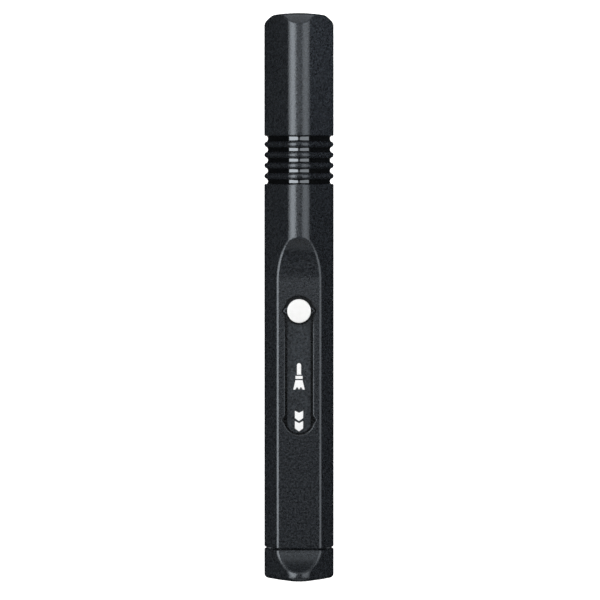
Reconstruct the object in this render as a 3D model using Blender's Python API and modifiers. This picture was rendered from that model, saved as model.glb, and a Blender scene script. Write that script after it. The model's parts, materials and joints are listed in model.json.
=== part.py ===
"""Lens cleaning pen, with a capped cleaning tip at one end and a brush that slides out of the other.

The pen lies on its flat back along Y, with the cap towards +Y and the thumb slider facing +Z.
The origin is under the middle of its length, on the plane that it rests on.
"""

import math

import bmesh
import bpy
from mathutils import Vector

MM = 0.001

# Driving dimensions.
LENGTH = 114.2 * MM
WIDTH = 14.0 * MM
CORNER_R = 2.7 * MM  # outer corners of the triangular section
WALL = 1.0 * MM
SLIP = 0.1 * MM  # gap round a plugged or snapped joint
GAP = 0.3 * MM  # gap between pieces that meet end to end
EDGE = 0.25 * MM  # small rounding of the ends of the mouldings
PAST = 1.0 * MM  # how far a cutter runs past the faces that it cuts

# The section: three corner arcs whose centres lie on a circle round the pen's axis.
CORNER_OUT = (WIDTH / 2 - CORNER_R) / math.sin(math.radians(120))
AXIS_Z = CORNER_OUT / 2 + CORNER_R

# Stations along the pen, measured from the nose's end face.
NOSE_TOP = 6.05 * MM
BARREL_START = NOSE_TOP + GAP
BARREL_END = 79.8 * MM
SOCKET_START = 73.6 * MM
CAP_START = 89.5 * MM
TENON_END = 11.5 * MM

# The thumb flat, cut across the front corner, and how it runs out at both ends. Heights are above the axis.
FLAT_Z = 2.8 * MM
SCOOP_R = 10.0 * MM  # the arc that it rises along towards the cap
SCOOP_START = 60.5 * MM
NOSE_RAMP_START = 5.95 * MM
NOSE_RAMP_BEND = 0.29 / MM  # the ramp in the nose rises by this times the square of the distance along it
NOSE_RAMP_LENGTH = 4.4 * MM
FLAT_WALL = 0.9 * MM
BORE_TOP_Z = FLAT_Z - FLAT_WALL

# The slider.
BUTTON_STATION = 54.3 * MM
TRAVEL = 22.0 * MM
SLOT_HALF = 2.8 * MM
SLOT_END_R = 3.0 * MM
NOTCH_DEPTH = 0.42 * MM
NOTCH_SPREAD = 16  # degrees round the slot's end, either way
BUTTON_R = 2.5 * MM
BUTTON_RISE = 1.3 * MM  # above the thumb flat
PLATE_HALF = 3.3 * MM
PLATE_TOP_Z = BORE_TOP_Z - 0.2 * MM
PLATE_THICK = 1.0 * MM
PLATE_START = 28.4 * MM
PLATE_END = 79.4 * MM
LAND_HALF = 2.35 * MM  # the raised middle of the plate, with a deep margin round it
LAND_RISE = 0.55 * MM
LAND_END_R = 2.7 * MM
LAND_BUTTON_GAP = 0.35 * MM
BLOCK_END = 32.7 * MM
RIB_HALF = 1.1 * MM
RIB_END = 66.0 * MM
FOOT_HALF = 2.6 * MM
FOOT_START = 62.0 * MM
FOOT_END = 66.5 * MM
BOSS_R = 2.1 * MM
POST_R = 1.1 * MM
WIRE_R = 0.2 * MM
WIRE_LOOP_R = BUTTON_R + 0.12 * MM
EAR_REACH = 0.54 * MM
EAR_HALF = 0.62 * MM

# The brush, an oval one below the slide plate.
BRUSH_Z = -1.5 * MM
FERRULE_SIZE = (7.4 * MM, 4.6 * MM)
FERRULE_WALL = 0.3 * MM
FERRULE_START = 20.0 * MM
FERRULE_END = 27.2 * MM
BRISTLE_TIP = 0.9 * MM
PLUG_TAIL = 3.5 * MM
PLUG_TAIL_SIZE = (5.0 * MM, 2.4 * MM)
MOUTH_SIZE = (8.6 * MM, 5.3 * MM)

# The grip neck, the spigot on it and the cleaning tip.
GRIP_CORNER_R = 2.6 * MM
GRIP_DEPTH = 0.65 * MM
GRIP_END = CAP_START - GAP
RING_COUNT = 4
RING_PITCH = 2.13 * MM
RING_THICK = 1.12 * MM
FIRST_RING = 81.4 * MM
SPIGOT_R = 4.2 * MM
SPIGOT_END = 95.7 * MM
SEAL_STATION = 92.4 * MM
SEAL_R = 0.3 * MM
STEM_R = 1.3 * MM
STEM_SOCKET_R = 1.7 * MM
STEM_SOCKET_START = 92.8 * MM
TIP_R = 3.5 * MM
TIP_HUB_START = 99.2 * MM
TIP_BACK = 100.8 * MM
TIP_FACE = 103.7 * MM

# The cap and the carbon cartridge in it.
CAP_BORE_R = 4.4 * MM
CAP_BORE_END = 111.2 * MM
DOME_DROP = 0.0052 / MM**2  # the dome falls by this times the cube of the distance from the axis
CARTRIDGE_START = 104.5 * MM
CARTRIDGE_END = 110.9 * MM
SPONGE_START = 104.1 * MM
SPONGE_END = 107.0 * MM

CORNER_STEPS = 8
TURN_STEPS = 40

COLOURS = {
    "satin_black": ((0.028, 0.030, 0.034), 0.55, 0.0),
    "gloss_black": ((0.012, 0.013, 0.015), 0.12, 0.0),
    "white_plastic": ((0.87, 0.87, 0.87), 0.35, 0.0),
    "spring_steel": ((0.50, 0.50, 0.52), 0.3, 1.0),
    "aluminium": ((0.72, 0.73, 0.75), 0.35, 1.0),
    "goat_hair": ((0.10, 0.08, 0.07), 0.7, 0.0),
    "black_rubber": ((0.02, 0.02, 0.021), 0.75, 0.0),
    "suede": ((0.03, 0.03, 0.03), 0.95, 0.0),
    "grey_plastic": ((0.22, 0.23, 0.25), 0.5, 0.0),
}


def clear_scene():
    for obj in list(bpy.data.objects):
        bpy.data.objects.remove(obj)


def new_collection(name):
    collection = bpy.data.collections.new(name)
    bpy.context.scene.collection.children.link(collection)
    return collection


def material(name):
    made = bpy.data.materials.get(name)
    if made is None:
        made = bpy.data.materials.new(name)
        made.use_nodes = True
        colour, roughness, metallic = COLOURS[name]
        shader = made.node_tree.nodes["Principled BSDF"]
        shader.inputs["Base Color"].default_value = (*colour, 1)
        shader.inputs["Roughness"].default_value = roughness
        shader.inputs["Metallic"].default_value = metallic
    return made


def y_at(station):
    """Where a station along the pen lies on the Y axis."""
    return station - LENGTH / 2


def rounded_triangle(corner_r, corner_out):
    """A triangle with round corners, one of them up, as (x, height above the axis)."""
    points = []
    for corner in (90, 210, 330):
        out = math.radians(corner)
        for step in range(CORNER_STEPS + 1):
            turn = math.radians(corner - 60 + 120 * step / CORNER_STEPS)
            points.append(
                (
                    corner_out * math.cos(out) + corner_r * math.cos(turn),
                    corner_out * math.sin(out) + corner_r * math.sin(turn),
                )
            )
    return points


def section(inset):
    """The pen's outer section, moved in all round by inset."""
    return rounded_triangle(CORNER_R - inset, CORNER_OUT)


def grip_section(inset=0.0):
    """The section of the shiny core between the grip rings."""
    radius = GRIP_CORNER_R - inset
    reach = WIDTH / 2 - GRIP_DEPTH - inset
    return rounded_triangle(radius, (reach - radius) / math.sin(math.radians(120)))


def cut_below(points, top):
    """The part of a closed outline that lies no higher than top."""
    kept = []
    for (x0, z0), (x1, z1) in zip(points, points[1:] + points[:1]):
        if z0 <= top:
            kept.append((x0, z0))
        if (z0 <= top) != (z1 <= top):
            share = (top - z0) / (z1 - z0)
            kept.append((x0 + share * (x1 - x0), top))
    return kept


def oval(size, height):
    """A flat-sided oval of that width and depth, its middle at that height."""
    width, depth = size
    radius = depth / 2
    points = []
    for side, first in ((1, -90), (-1, 90)):
        for step in range(CORNER_STEPS + 1):
            turn = math.radians(first + 180 * step / CORNER_STEPS)
            x = side * (width / 2 - radius) + radius * math.cos(turn)
            points.append((x, height + radius * math.sin(turn)))
    return points


def rectangle(x0, x1, z0, z1):
    return [(x0, z0), (x1, z0), (x1, z1), (x0, z1)]


def arc(centre, radius, first, last, steps):
    """Points on an arc, with its angles in degrees."""
    turns = [math.radians(first + (last - first) * k / steps) for k in range(steps + 1)]
    return [
        (centre[0] + radius * math.cos(t), centre[1] + radius * math.sin(t)) for t in turns
    ]


def place(obj, collection, surface):
    """Puts a finished object in its collection. With no surface it is a cutter."""
    for old in list(obj.users_collection):
        old.objects.unlink(obj)
    collection.objects.link(obj)
    if surface is None:
        obj.hide_render = True
        obj.display_type = "WIRE"
        return obj
    obj.data.materials.clear()
    obj.data.materials.append(material(surface))
    if obj.type == "MESH":
        obj.data.shade_smooth()
        obj.data.set_sharp_from_angle(angle=math.radians(35))
    return obj


def extruded(name, loops, length):
    """A mesh object made from a flat filled curve, length thick along its local Z."""
    curve = bpy.data.curves.new(name, "CURVE")
    curve.dimensions = "2D"
    curve.fill_mode = "BOTH"
    curve.extrude = length / 2
    for loop in loops:
        spline = curve.splines.new("POLY")
        spline.points.add(len(loop) - 1)
        for point, (a, b) in zip(spline.points, loop):
            point.co = (a, b, 0, 1)
        spline.use_cyclic_u = True
    flat = bpy.data.objects.new(name + "_curve", curve)
    bpy.context.scene.collection.objects.link(flat)
    bpy.context.view_layer.update()
    graph = bpy.context.evaluated_depsgraph_get()
    mesh = bpy.data.meshes.new_from_object(flat.evaluated_get(graph))
    bpy.data.objects.remove(flat)
    shape = bmesh.new()
    shape.from_mesh(mesh)
    bmesh.ops.remove_doubles(shape, verts=shape.verts, dist=1e-7)
    if len(loops) == 1:
        bmesh.ops.dissolve_limit(
            shape, angle_limit=math.radians(1), verts=shape.verts, edges=shape.edges
        )
    bmesh.ops.recalc_face_normals(shape, faces=shape.faces)
    shape.to_mesh(mesh)
    shape.free()
    mesh.name = name
    return bpy.data.objects.new(name, mesh)


def prism(name, loops, start, end, collection, surface=None):
    """An outline in the pen's cross section, carried from one station to another."""
    obj = extruded(name, loops, end - start)
    obj.rotation_euler = (math.radians(90), 0, 0)
    obj.location = (0, y_at((start + end) / 2), AXIS_Z)
    return place(obj, collection, surface)


def upright(name, loops, low, high, collection, surface=None):
    """An outline in plan, as (x, station), standing between two heights above the axis."""
    plan = [[(x, y_at(station)) for x, station in loop] for loop in loops]
    obj = extruded(name, plan, high - low)
    obj.location = (0, 0, AXIS_Z + (low + high) / 2)
    return place(obj, collection, surface)


def turned(name, profile, collection, surface=None, closed=False):
    """A profile of (radius, station), from the cap's side to the nose's, turned round the pen's axis."""
    count = len(profile)
    edges = [(k, k + 1) for k in range(count - 1)] + ([(count - 1, 0)] if closed else [])
    mesh = bpy.data.meshes.new(name)
    mesh.from_pydata([(radius, 0, station) for radius, station in profile], edges, [])
    obj = bpy.data.objects.new(name, mesh)
    screw = obj.modifiers.new("Turn", "SCREW")
    screw.steps = screw.render_steps = TURN_STEPS
    screw.use_merge_vertices = True
    screw.merge_threshold = 1e-7
    screw.use_smooth_shade = True
    obj.rotation_euler = (math.radians(-90), 0, 0)
    obj.location = (0, y_at(0), AXIS_Z)
    return place(obj, collection, surface)


def round_edges(obj, width, segments=2):
    bevel = obj.modifiers.new("Round edges", "BEVEL")
    bevel.width = width
    bevel.segments = segments
    bevel.limit_method = "ANGLE"
    bevel.angle_limit = math.radians(50)


def combine(obj, other, operation):
    boolean = obj.modifiers.new(other.name, "BOOLEAN")
    boolean.operation = operation
    boolean.object = other


def thumb_flat_cutter(cutters):
    """Takes off all above the thumb flat, with a scoop up towards the cap and a ramp up in the nose."""
    clear = CORNER_OUT + CORNER_R + PAST
    scoop = arc((SCOOP_START, FLAT_Z + SCOOP_R), SCOOP_R, -90, -25, 16)
    ramp = []
    ramp_steps = 8
    for step in range(ramp_steps + 1):
        along = NOSE_RAMP_LENGTH * (1 - step / ramp_steps)
        ramp.append((NOSE_RAMP_START - along, FLAT_Z + NOSE_RAMP_BEND * along**2))
    side = ramp + scoop
    # Both ends lean outwards, so that they clear the pen's surface.
    top = [(side[-1][0] + 3 * PAST, clear), (side[0][0] - PAST / 2, clear)]
    outline = [(y_at(station), height) for station, height in side + top]
    obj = extruded("thumb_flat_cutter", [outline], 2 * WIDTH)
    # Stands the outline up in the YZ plane, with its thickness along X.
    obj.rotation_euler = (math.radians(90), 0, math.radians(90))
    obj.location = (0, 0, AXIS_Z)
    return place(obj, cutters, None)


def slot_outline():
    """The slot's plan: straight sides, wider round ends, and a small notch on each side at both stops."""
    lean = math.degrees(math.acos(SLOT_HALF / SLOT_END_R))
    quarter = [-lean, *range(-NOTCH_SPREAD, NOTCH_SPREAD + 1, 4), *range(30, 90, 15)]
    turns = quarter + [90] + [180 - turn for turn in reversed(quarter)]
    points = []
    for stop, first in ((BUTTON_STATION, 0), (BUTTON_STATION - TRAVEL, 180)):
        for turn in turns:
            off_side = min(abs(abs(turn - 90) - 90) / NOTCH_SPREAD, 1)
            radius = SLOT_END_R + NOTCH_DEPTH * math.cos(math.radians(90 * off_side)) ** 2
            around = math.radians(first + turn)
            points.append((radius * math.cos(around), stop + radius * math.sin(around)))
    return points


def make_barrel(parts, cutters, flat_cutter):
    barrel = prism(
        "barrel_shell", [section(0)], BARREL_START, BARREL_END, parts, "satin_black"
    )
    round_edges(barrel, EDGE)
    bore = prism(
        "barrel_bore",
        [cut_below(section(WALL), BORE_TOP_Z)],
        BARREL_START - PAST,
        BARREL_END + PAST,
        cutters,
    )
    socket = prism(
        "neck_socket", [section(WALL)], SOCKET_START, BARREL_END + PAST, cutters
    )
    slot = upright(
        "slider_slot", [slot_outline()], BORE_TOP_Z - PAST, FLAT_Z + PAST, cutters
    )
    for cutter in (flat_cutter, bore, socket, slot):
        combine(barrel, cutter, "DIFFERENCE")


def make_nose(parts, cutters, flat_cutter):
    """The end piece, with the brush's mouth through it and a cradle that plugs into the barrel."""
    cradle_top = PLATE_TOP_Z - PLATE_THICK - 0.4 * MM
    nose = prism("nose_cap", [section(0)], 0, NOSE_TOP, parts, "satin_black")
    round_edges(nose, EDGE)
    tenon = prism(
        "nose_tenon",
        [cut_below(section(WALL + SLIP), cradle_top)],
        NOSE_TOP - PAST,
        TENON_END,
        cutters,
    )
    mouth = prism("brush_mouth", [oval(MOUTH_SIZE, BRUSH_Z)], -PAST, TENON_END + PAST, cutters)
    combine(nose, flat_cutter, "DIFFERENCE")
    combine(nose, tenon, "UNION")
    combine(nose, mouth, "DIFFERENCE")


def make_neck(parts, cutters):
    """The shiny neck: a forked plug in the barrel, the grip's core, and the spigot for the cap."""
    neck = prism(
        "grip_neck",
        [grip_section()],
        BARREL_END + GAP / 2,
        GRIP_END,
        parts,
        "gloss_black",
    )
    plug = prism(
        "neck_plug",
        [section(WALL + SLIP)],
        SOCKET_START + GAP,
        BARREL_END + PAST,
        cutters,
    )
    way_bottom = PLATE_TOP_Z - PLATE_THICK - GAP
    plate_way = prism(
        "slide_plate_way",
        [rectangle(-WIDTH / 2, WIDTH / 2, way_bottom, BORE_TOP_Z + SLIP)],
        SOCKET_START - PAST,
        PLATE_END + GAP,
        cutters,
    )
    groove_floor = SPIGOT_R - 0.55 * MM
    groove_half = 0.45 * MM
    lead = 0.4 * MM
    spigot = turned(
        "cap_spigot",
        [
            (0, SPIGOT_END),
            (SPIGOT_R - lead, SPIGOT_END),
            (SPIGOT_R, SPIGOT_END - lead),
            (SPIGOT_R, SEAL_STATION + groove_half),
            (groove_floor, SEAL_STATION + groove_half),
            (groove_floor, SEAL_STATION - groove_half),
            (SPIGOT_R, SEAL_STATION - groove_half),
            (SPIGOT_R, GRIP_END - PAST),
            (0, GRIP_END - PAST),
        ],
        cutters,
    )
    socket = turned(
        "stem_socket",
        [
            (0, SPIGOT_END + PAST),
            (STEM_SOCKET_R, SPIGOT_END + PAST),
            (STEM_SOCKET_R, STEM_SOCKET_START),
            (0, STEM_SOCKET_START),
        ],
        cutters,
    )
    combine(neck, plug, "UNION")
    combine(neck, spigot, "UNION")
    combine(neck, plate_way, "DIFFERENCE")
    combine(neck, socket, "DIFFERENCE")


def make_grip_rings(parts, cutters):
    """Four rings as wide as the barrel, round-edged outside and seated on the neck's core."""
    seat = prism(
        "ring_seat",
        [grip_section(-SLIP)],
        BARREL_END,
        CAP_START,
        cutters,
    )
    for number in range(RING_COUNT):
        middle = FIRST_RING + number * RING_PITCH
        ring = prism(
            f"grip_ring_{number + 1}",
            [section(0)],
            middle - RING_THICK / 2,
            middle + RING_THICK / 2,
            parts,
            "satin_black",
        )
        round_edges(ring, 0.4 * RING_THICK, 3)
        combine(ring, seat, "DIFFERENCE")


def slide_margin_cutter(cutters):
    """Lowers the slide plate all round its two lands and a round seat for the button."""
    stop = BUTTON_STATION - TRAVEL
    near_r = BUTTON_R + LAND_BUTTON_GAP
    corner = math.degrees(math.acos(LAND_HALF / LAND_END_R))
    hollow = math.degrees(math.acos(LAND_HALF / near_r))
    front_land = [
        *arc((0, stop), LAND_END_R, 180 + corner, 360 - corner, 12),
        *arc((0, BUTTON_STATION), near_r, -hollow, hollow - 180, 12),
    ]
    rear_land = rectangle(-LAND_HALF, LAND_HALF, BUTTON_STATION + SLOT_END_R + SLIP, PLATE_END - SLIP)
    seat = arc((0, BUTTON_STATION), BOSS_R, 0, 345, 23)
    past = rectangle(
        -PLATE_HALF - PAST, PLATE_HALF + PAST, PLATE_START - PAST, PLATE_END + PAST
    )
    return upright(
        "slide_margins",
        [past, front_land, rear_land, seat],
        PLATE_TOP_Z - LAND_RISE,
        PLATE_TOP_Z + PAST,
        cutters,
    )


def make_carriage(parts, cutters):
    """The slider's long moulding: the slot's cover plate, brush block, rib, button boss and rear foot."""
    plate_bottom = PLATE_TOP_Z - PLATE_THICK
    carriage = prism(
        "brush_carriage",
        [rectangle(-PLATE_HALF, PLATE_HALF, plate_bottom, PLATE_TOP_Z)],
        PLATE_START,
        PLATE_END,
        parts,
        "satin_black",
    )
    # What hangs below the plate starts inside it, and each shape runs a little into the next.
    root = PLATE_TOP_Z - 0.8 * PLATE_THICK
    overlap = 0.2 * MM
    web_half = 2.0 * MM
    block = prism(
        "brush_block",
        [oval(FERRULE_SIZE, BRUSH_Z)],
        FERRULE_END + GAP,
        BLOCK_END,
        cutters,
    )
    web = prism(
        "block_web",
        [rectangle(-web_half, web_half, BRUSH_Z, root)],
        PLATE_START + overlap,
        BLOCK_END - overlap,
        cutters,
    )
    rib = prism(
        "carriage_rib",
        [rectangle(-RIB_HALF, RIB_HALF, BRUSH_Z - 0.4 * MM, root)],
        BLOCK_END - 2 * overlap,
        RIB_END,
        cutters,
    )
    bore_floor = WALL - AXIS_Z
    foot = prism(
        "rear_foot",
        [rectangle(-FOOT_HALF, FOOT_HALF, bore_floor + 0.25 * MM, root)],
        FOOT_START,
        FOOT_END,
        cutters,
    )
    boss = upright(
        "button_boss",
        [arc((0, BUTTON_STATION), BOSS_R, 0, 345, 23)],
        BRUSH_Z - 0.8 * MM,
        root,
        cutters,
    )
    post_hole = upright(
        "button_post_hole",
        [arc((0, BUTTON_STATION), POST_R + SLIP, 0, 337.5, 15)],
        BRUSH_Z,
        PLATE_TOP_Z + PAST,
        cutters,
    )
    pocket = prism(
        "brush_pocket",
        [oval([size + 2 * SLIP for size in PLUG_TAIL_SIZE], BRUSH_Z)],
        FERRULE_END,
        FERRULE_END + PLUG_TAIL + GAP,
        cutters,
    )
    for added in (block, web, rib, foot, boss):
        combine(carriage, added, "UNION")
    for taken in (slide_margin_cutter(cutters), post_hole, pocket):
        combine(carriage, taken, "DIFFERENCE")


def make_button(parts):
    """The white thumb button: a post, a waist for the detent wire, and a softly domed disc."""
    foot = BRUSH_Z + 0.2 * MM
    base = PLATE_TOP_Z + SLIP
    waist = FLAT_Z - 0.2 * MM
    top = FLAT_Z + BUTTON_RISE
    edge = 0.4 * MM
    waist_r = BUTTON_R - 0.2 * MM
    profile = [
        (0, top + 0.12 * MM),
        (BUTTON_R * 0.45, top + 0.09 * MM),
        *[
            (x, z)
            for x, z in reversed(arc((BUTTON_R - edge, top - edge), edge, 0, 80, 4))
        ],
        (BUTTON_R, waist),
        (waist_r, waist),
        (waist_r, base),
        (POST_R, base),
        (POST_R, foot),
        (0, foot),
    ]
    obj = turned("slider_button", profile, parts, "white_plastic")
    obj.rotation_euler = (0, 0, 0)
    obj.location = (0, y_at(BUTTON_STATION), AXIS_Z)


def make_detent(parts):
    """A wire clip round the button's waist. Its two bumps sit in the slot's notches."""
    steps = 32
    points = []
    for step in range(steps + 1):
        turn = math.radians(-80 + 340 * step / steps)
        x, along = WIRE_LOOP_R * math.cos(turn), WIRE_LOOP_R * math.sin(turn)
        ear = EAR_REACH * max(0.0, 1 - (along / EAR_HALF) ** 2)
        points.append((x + math.copysign(ear, x), along))
    curve = bpy.data.curves.new("detent_spring", "CURVE")
    curve.dimensions = "3D"
    curve.bevel_depth = WIRE_R
    curve.bevel_resolution = 2
    curve.use_fill_caps = True
    spline = curve.splines.new("POLY")
    spline.points.add(len(points) - 1)
    for point, (x, along) in zip(spline.points, points):
        point.co = (x, along, 0, 1)
    obj = bpy.data.objects.new("detent_spring", curve)
    obj.location = (0, y_at(BUTTON_STATION), AXIS_Z + (PLATE_TOP_Z + FLAT_Z) / 2)
    place(obj, parts, "spring_steel")


def make_brush(parts, cutters):
    width, depth = FERRULE_SIZE
    inner = (width - 2 * FERRULE_WALL, depth - 2 * FERRULE_WALL)
    prism(
        "brush_ferrule",
        [oval(FERRULE_SIZE, BRUSH_Z), oval(inner, BRUSH_Z)],
        FERRULE_START,
        FERRULE_END,
        parts,
        "aluminium",
    )
    plug_size = (inner[0] - 2 * SLIP, inner[1] - 2 * SLIP)
    plug = prism(
        "brush_plug",
        [oval(plug_size, BRUSH_Z)],
        FERRULE_START + 2.8 * MM,
        FERRULE_END,
        parts,
        "grey_plastic",
    )
    tail = prism(
        "brush_plug_tail",
        [oval(PLUG_TAIL_SIZE, BRUSH_Z)],
        FERRULE_END - PAST,
        FERRULE_END + PLUG_TAIL,
        cutters,
    )
    combine(plug, tail, "UNION")
    make_bristles(parts, plug_size)


def make_bristles(parts, root_size):
    """The hair as one closed form: bound in the ferrule, fuller half way, and drawn in to a soft tip."""
    root = root_size[1] / 2
    bound_end = FERRULE_START + 2.5 * MM
    stations = [
        (0, BRISTLE_TIP),
        (0.30 * root, BRISTLE_TIP + 0.15 * MM),
        (0.62 * root, BRISTLE_TIP + 1.2 * MM),
        (0.88 * root, BRISTLE_TIP + 3.4 * MM),
        (1.08 * root, BRISTLE_TIP + 7.0 * MM),
        (1.16 * root, BRISTLE_TIP + 11.0 * MM),
        (1.08 * root, BRISTLE_TIP + 15.5 * MM),
        (root, FERRULE_START),
        (root, bound_end),
        (0, bound_end),
    ]
    hair = turned("brush_bristles", stations[::-1], parts, "goat_hair")
    # The form is round in its own frame and is widened to the ferrule's oval.
    for vertex in hair.data.vertices:
        vertex.co.z -= FERRULE_START
    hair.location = (0, y_at(FERRULE_START), AXIS_Z + BRUSH_Z)
    hair.scale = (root_size[0] / root_size[1], 1, 1)


def make_tip(parts):
    """The rubber stem in the neck's socket, the disc on it and the cleaning pad."""
    hub_r = 2.1 * MM
    foot_r = STEM_SOCKET_R - SLIP
    stem_end = TIP_BACK + 0.9 * MM
    flange_r = 2.3 * MM
    flange_bottom, flange_top = SPIGOT_END + 0.2 * MM, SPIGOT_END + 0.9 * MM
    foot_end = STEM_SOCKET_START + 0.2 * MM
    turned(
        "tip_stem",
        [
            (0, stem_end),
            (STEM_R, stem_end),
            (STEM_R, TIP_HUB_START - 0.6 * MM),
            (STEM_R - 0.15 * MM, (TIP_HUB_START + flange_top) / 2),
            (STEM_R + 0.2 * MM, flange_top),
            (flange_r, flange_top - 0.1 * MM),
            (flange_r, flange_bottom),
            (foot_r, flange_bottom),
            (foot_r, foot_end),
            (0, foot_end),
        ],
        parts,
        "black_rubber",
    )
    bore_r = STEM_R + SLIP
    turned(
        "tip_head",
        [
            (0, TIP_FACE - 1.0 * MM),
            (TIP_R - 0.5 * MM, TIP_FACE - 0.85 * MM),
            (TIP_R, TIP_FACE - 1.1 * MM),
            (TIP_R, TIP_BACK + 0.5 * MM),
            (TIP_R - 0.5 * MM, TIP_BACK),
            (hub_r, TIP_BACK - 0.2 * MM),
            (hub_r, TIP_HUB_START),
            (bore_r, TIP_HUB_START),
            (bore_r, TIP_BACK + MM),
            (0, TIP_BACK + MM),
        ],
        parts,
        "black_rubber",
    )
    turned(
        "tip_pad",
        [
            (0, TIP_FACE - 0.22 * MM),
            (0.5 * TIP_R, TIP_FACE - 0.16 * MM),
            (TIP_R - 0.5 * MM, TIP_FACE),
            (TIP_R - 0.15 * MM, TIP_FACE - 0.1 * MM),
            (TIP_R, TIP_FACE - 0.4 * MM),
            (TIP_R - 0.1 * MM, TIP_FACE - 0.75 * MM),
            (TIP_R - 0.4 * MM, TIP_FACE - 0.7 * MM),
            (0, TIP_FACE - 0.85 * MM),
        ],
        parts,
        "suede",
    )


def make_seal_ring(parts):
    """The ring on the spigot that the cap grips. It turns with the cap."""
    ring_r = CAP_BORE_R - 0.08 * MM - SEAL_R
    profile = arc((ring_r, SEAL_STATION), SEAL_R, 90, -225, 7)
    turned("cap_seal_ring", profile, parts, "black_rubber", closed=True)


def make_cap(parts, cutters):
    cap = prism(
        "cap_shell", [section(0)], CAP_START, LENGTH + PAST, parts, "satin_black"
    )
    round_edges(cap, EDGE)
    reach = WIDTH
    lead = 0.3 * MM
    end_r = CAP_BORE_R - 0.5 * MM
    crown_r, crown_steps = 9.0 * MM, 12
    radii = [crown_r * k / crown_steps for k in range(crown_steps + 1)]
    crown = turned(
        "cap_crown",
        [(radius, LENGTH - DOME_DROP * radius**3) for radius in radii]
        + [(reach, LENGTH - 6 * MM), (reach, CAP_START - PAST), (0, CAP_START - PAST)],
        cutters,
    )
    bore = turned(
        "cap_bore",
        [
            (0, CAP_BORE_END),
            (end_r, CAP_BORE_END),
            (CAP_BORE_R, CAP_BORE_END - 0.5 * MM),
            (CAP_BORE_R, CAP_START + lead),
            (CAP_BORE_R + lead, CAP_START),
            (CAP_BORE_R + lead, CAP_START - PAST),
            (0, CAP_START - PAST),
        ],
        cutters,
    )
    combine(cap, crown, "INTERSECT")
    combine(cap, bore, "DIFFERENCE")


def make_cartridge(parts):
    """The cup pressed into the cap, and the carbon-loaded sponge that the tip rests against."""
    outer_r = CAP_BORE_R - SLIP
    inner_r = outer_r - 0.5 * MM
    floor_low = SPONGE_END + 0.2 * MM
    floor_high = floor_low + 0.6 * MM
    turned(
        "carbon_cartridge",
        [
            (0, floor_high),
            (inner_r, floor_high),
            (inner_r, CARTRIDGE_END - 0.4 * MM),
            (inner_r - 0.1 * MM, CARTRIDGE_END),
            (outer_r - 0.5 * MM, CARTRIDGE_END),
            (outer_r, CARTRIDGE_END - 0.6 * MM),
            (outer_r, CARTRIDGE_START),
            (inner_r, CARTRIDGE_START),
            (inner_r, floor_low),
            (0, floor_low),
        ],
        parts,
        "grey_plastic",
    )
    sponge_r = inner_r - SLIP
    turned(
        "carbon_sponge",
        [
            (0, SPONGE_END),
            (sponge_r, SPONGE_END),
            (sponge_r, SPONGE_START + 0.3 * MM),
            (sponge_r - 0.3 * MM, SPONGE_START),
            (0, SPONGE_START),
        ],
        parts,
        "suede",
    )


def main():
    clear_scene()
    parts = new_collection("lens_cleaning_pen")
    cutters = new_collection("cutters")
    flat_cutter = thumb_flat_cutter(cutters)
    make_barrel(parts, cutters, flat_cutter)
    make_nose(parts, cutters, flat_cutter)
    make_neck(parts, cutters)
    make_grip_rings(parts, cutters)
    make_carriage(parts, cutters)
    make_button(parts)
    make_detent(parts)
    make_brush(parts, cutters)
    make_tip(parts)
    make_seal_ring(parts)
    make_cap(parts, cutters)
    make_cartridge(parts)


main()
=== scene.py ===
"""How the lens cleaning pen looks: its fine mouldings, brush hair, printed marks, finishes and light."""

import json
import math
import random

import bmesh
import bpy
import numpy as np
from mathutils import Matrix, Vector


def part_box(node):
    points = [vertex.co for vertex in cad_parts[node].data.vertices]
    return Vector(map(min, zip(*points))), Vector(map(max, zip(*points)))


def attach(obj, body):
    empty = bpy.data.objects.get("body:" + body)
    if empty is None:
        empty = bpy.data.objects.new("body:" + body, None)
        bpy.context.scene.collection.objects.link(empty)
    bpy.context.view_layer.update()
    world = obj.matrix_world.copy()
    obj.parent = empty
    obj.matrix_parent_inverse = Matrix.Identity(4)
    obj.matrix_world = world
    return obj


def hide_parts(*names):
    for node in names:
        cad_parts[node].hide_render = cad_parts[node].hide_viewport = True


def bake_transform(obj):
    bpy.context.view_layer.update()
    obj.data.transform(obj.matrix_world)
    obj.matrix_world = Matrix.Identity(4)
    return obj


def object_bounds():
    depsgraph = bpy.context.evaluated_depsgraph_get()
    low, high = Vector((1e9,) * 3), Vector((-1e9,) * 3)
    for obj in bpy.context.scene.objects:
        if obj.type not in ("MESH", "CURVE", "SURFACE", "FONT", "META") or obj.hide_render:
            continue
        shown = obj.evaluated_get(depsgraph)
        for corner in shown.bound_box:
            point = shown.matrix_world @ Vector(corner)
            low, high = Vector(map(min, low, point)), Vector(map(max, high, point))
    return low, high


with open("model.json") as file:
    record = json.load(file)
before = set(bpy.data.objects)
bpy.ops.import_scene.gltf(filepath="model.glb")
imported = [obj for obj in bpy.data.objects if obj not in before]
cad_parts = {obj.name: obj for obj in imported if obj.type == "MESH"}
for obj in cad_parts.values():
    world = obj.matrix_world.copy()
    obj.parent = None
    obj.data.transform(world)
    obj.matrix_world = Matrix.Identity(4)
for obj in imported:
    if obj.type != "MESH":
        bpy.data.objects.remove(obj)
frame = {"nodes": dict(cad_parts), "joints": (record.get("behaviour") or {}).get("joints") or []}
cad_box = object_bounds()

MM = 0.001

# ---------------------------------------------------------------- places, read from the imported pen
NOSE_Y = cad_box[0].y
SLIDE = next(joint for joint in frame["joints"] if joint["name"] == "brush_slide")
TILT = next(joint for joint in frame["joints"] if joint["name"] == "tip_tilt")
AXIS_Z = TILT["pos_m"][2]
TRAVEL = SLIDE["range_m"][1]


def y_at(station):
    """A station is a distance along the pen from the nose's end face."""
    return NOSE_Y + station


def span(node):
    """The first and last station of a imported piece."""
    low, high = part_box(node)
    return low.y - NOSE_Y, high.y - NOSE_Y


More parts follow.
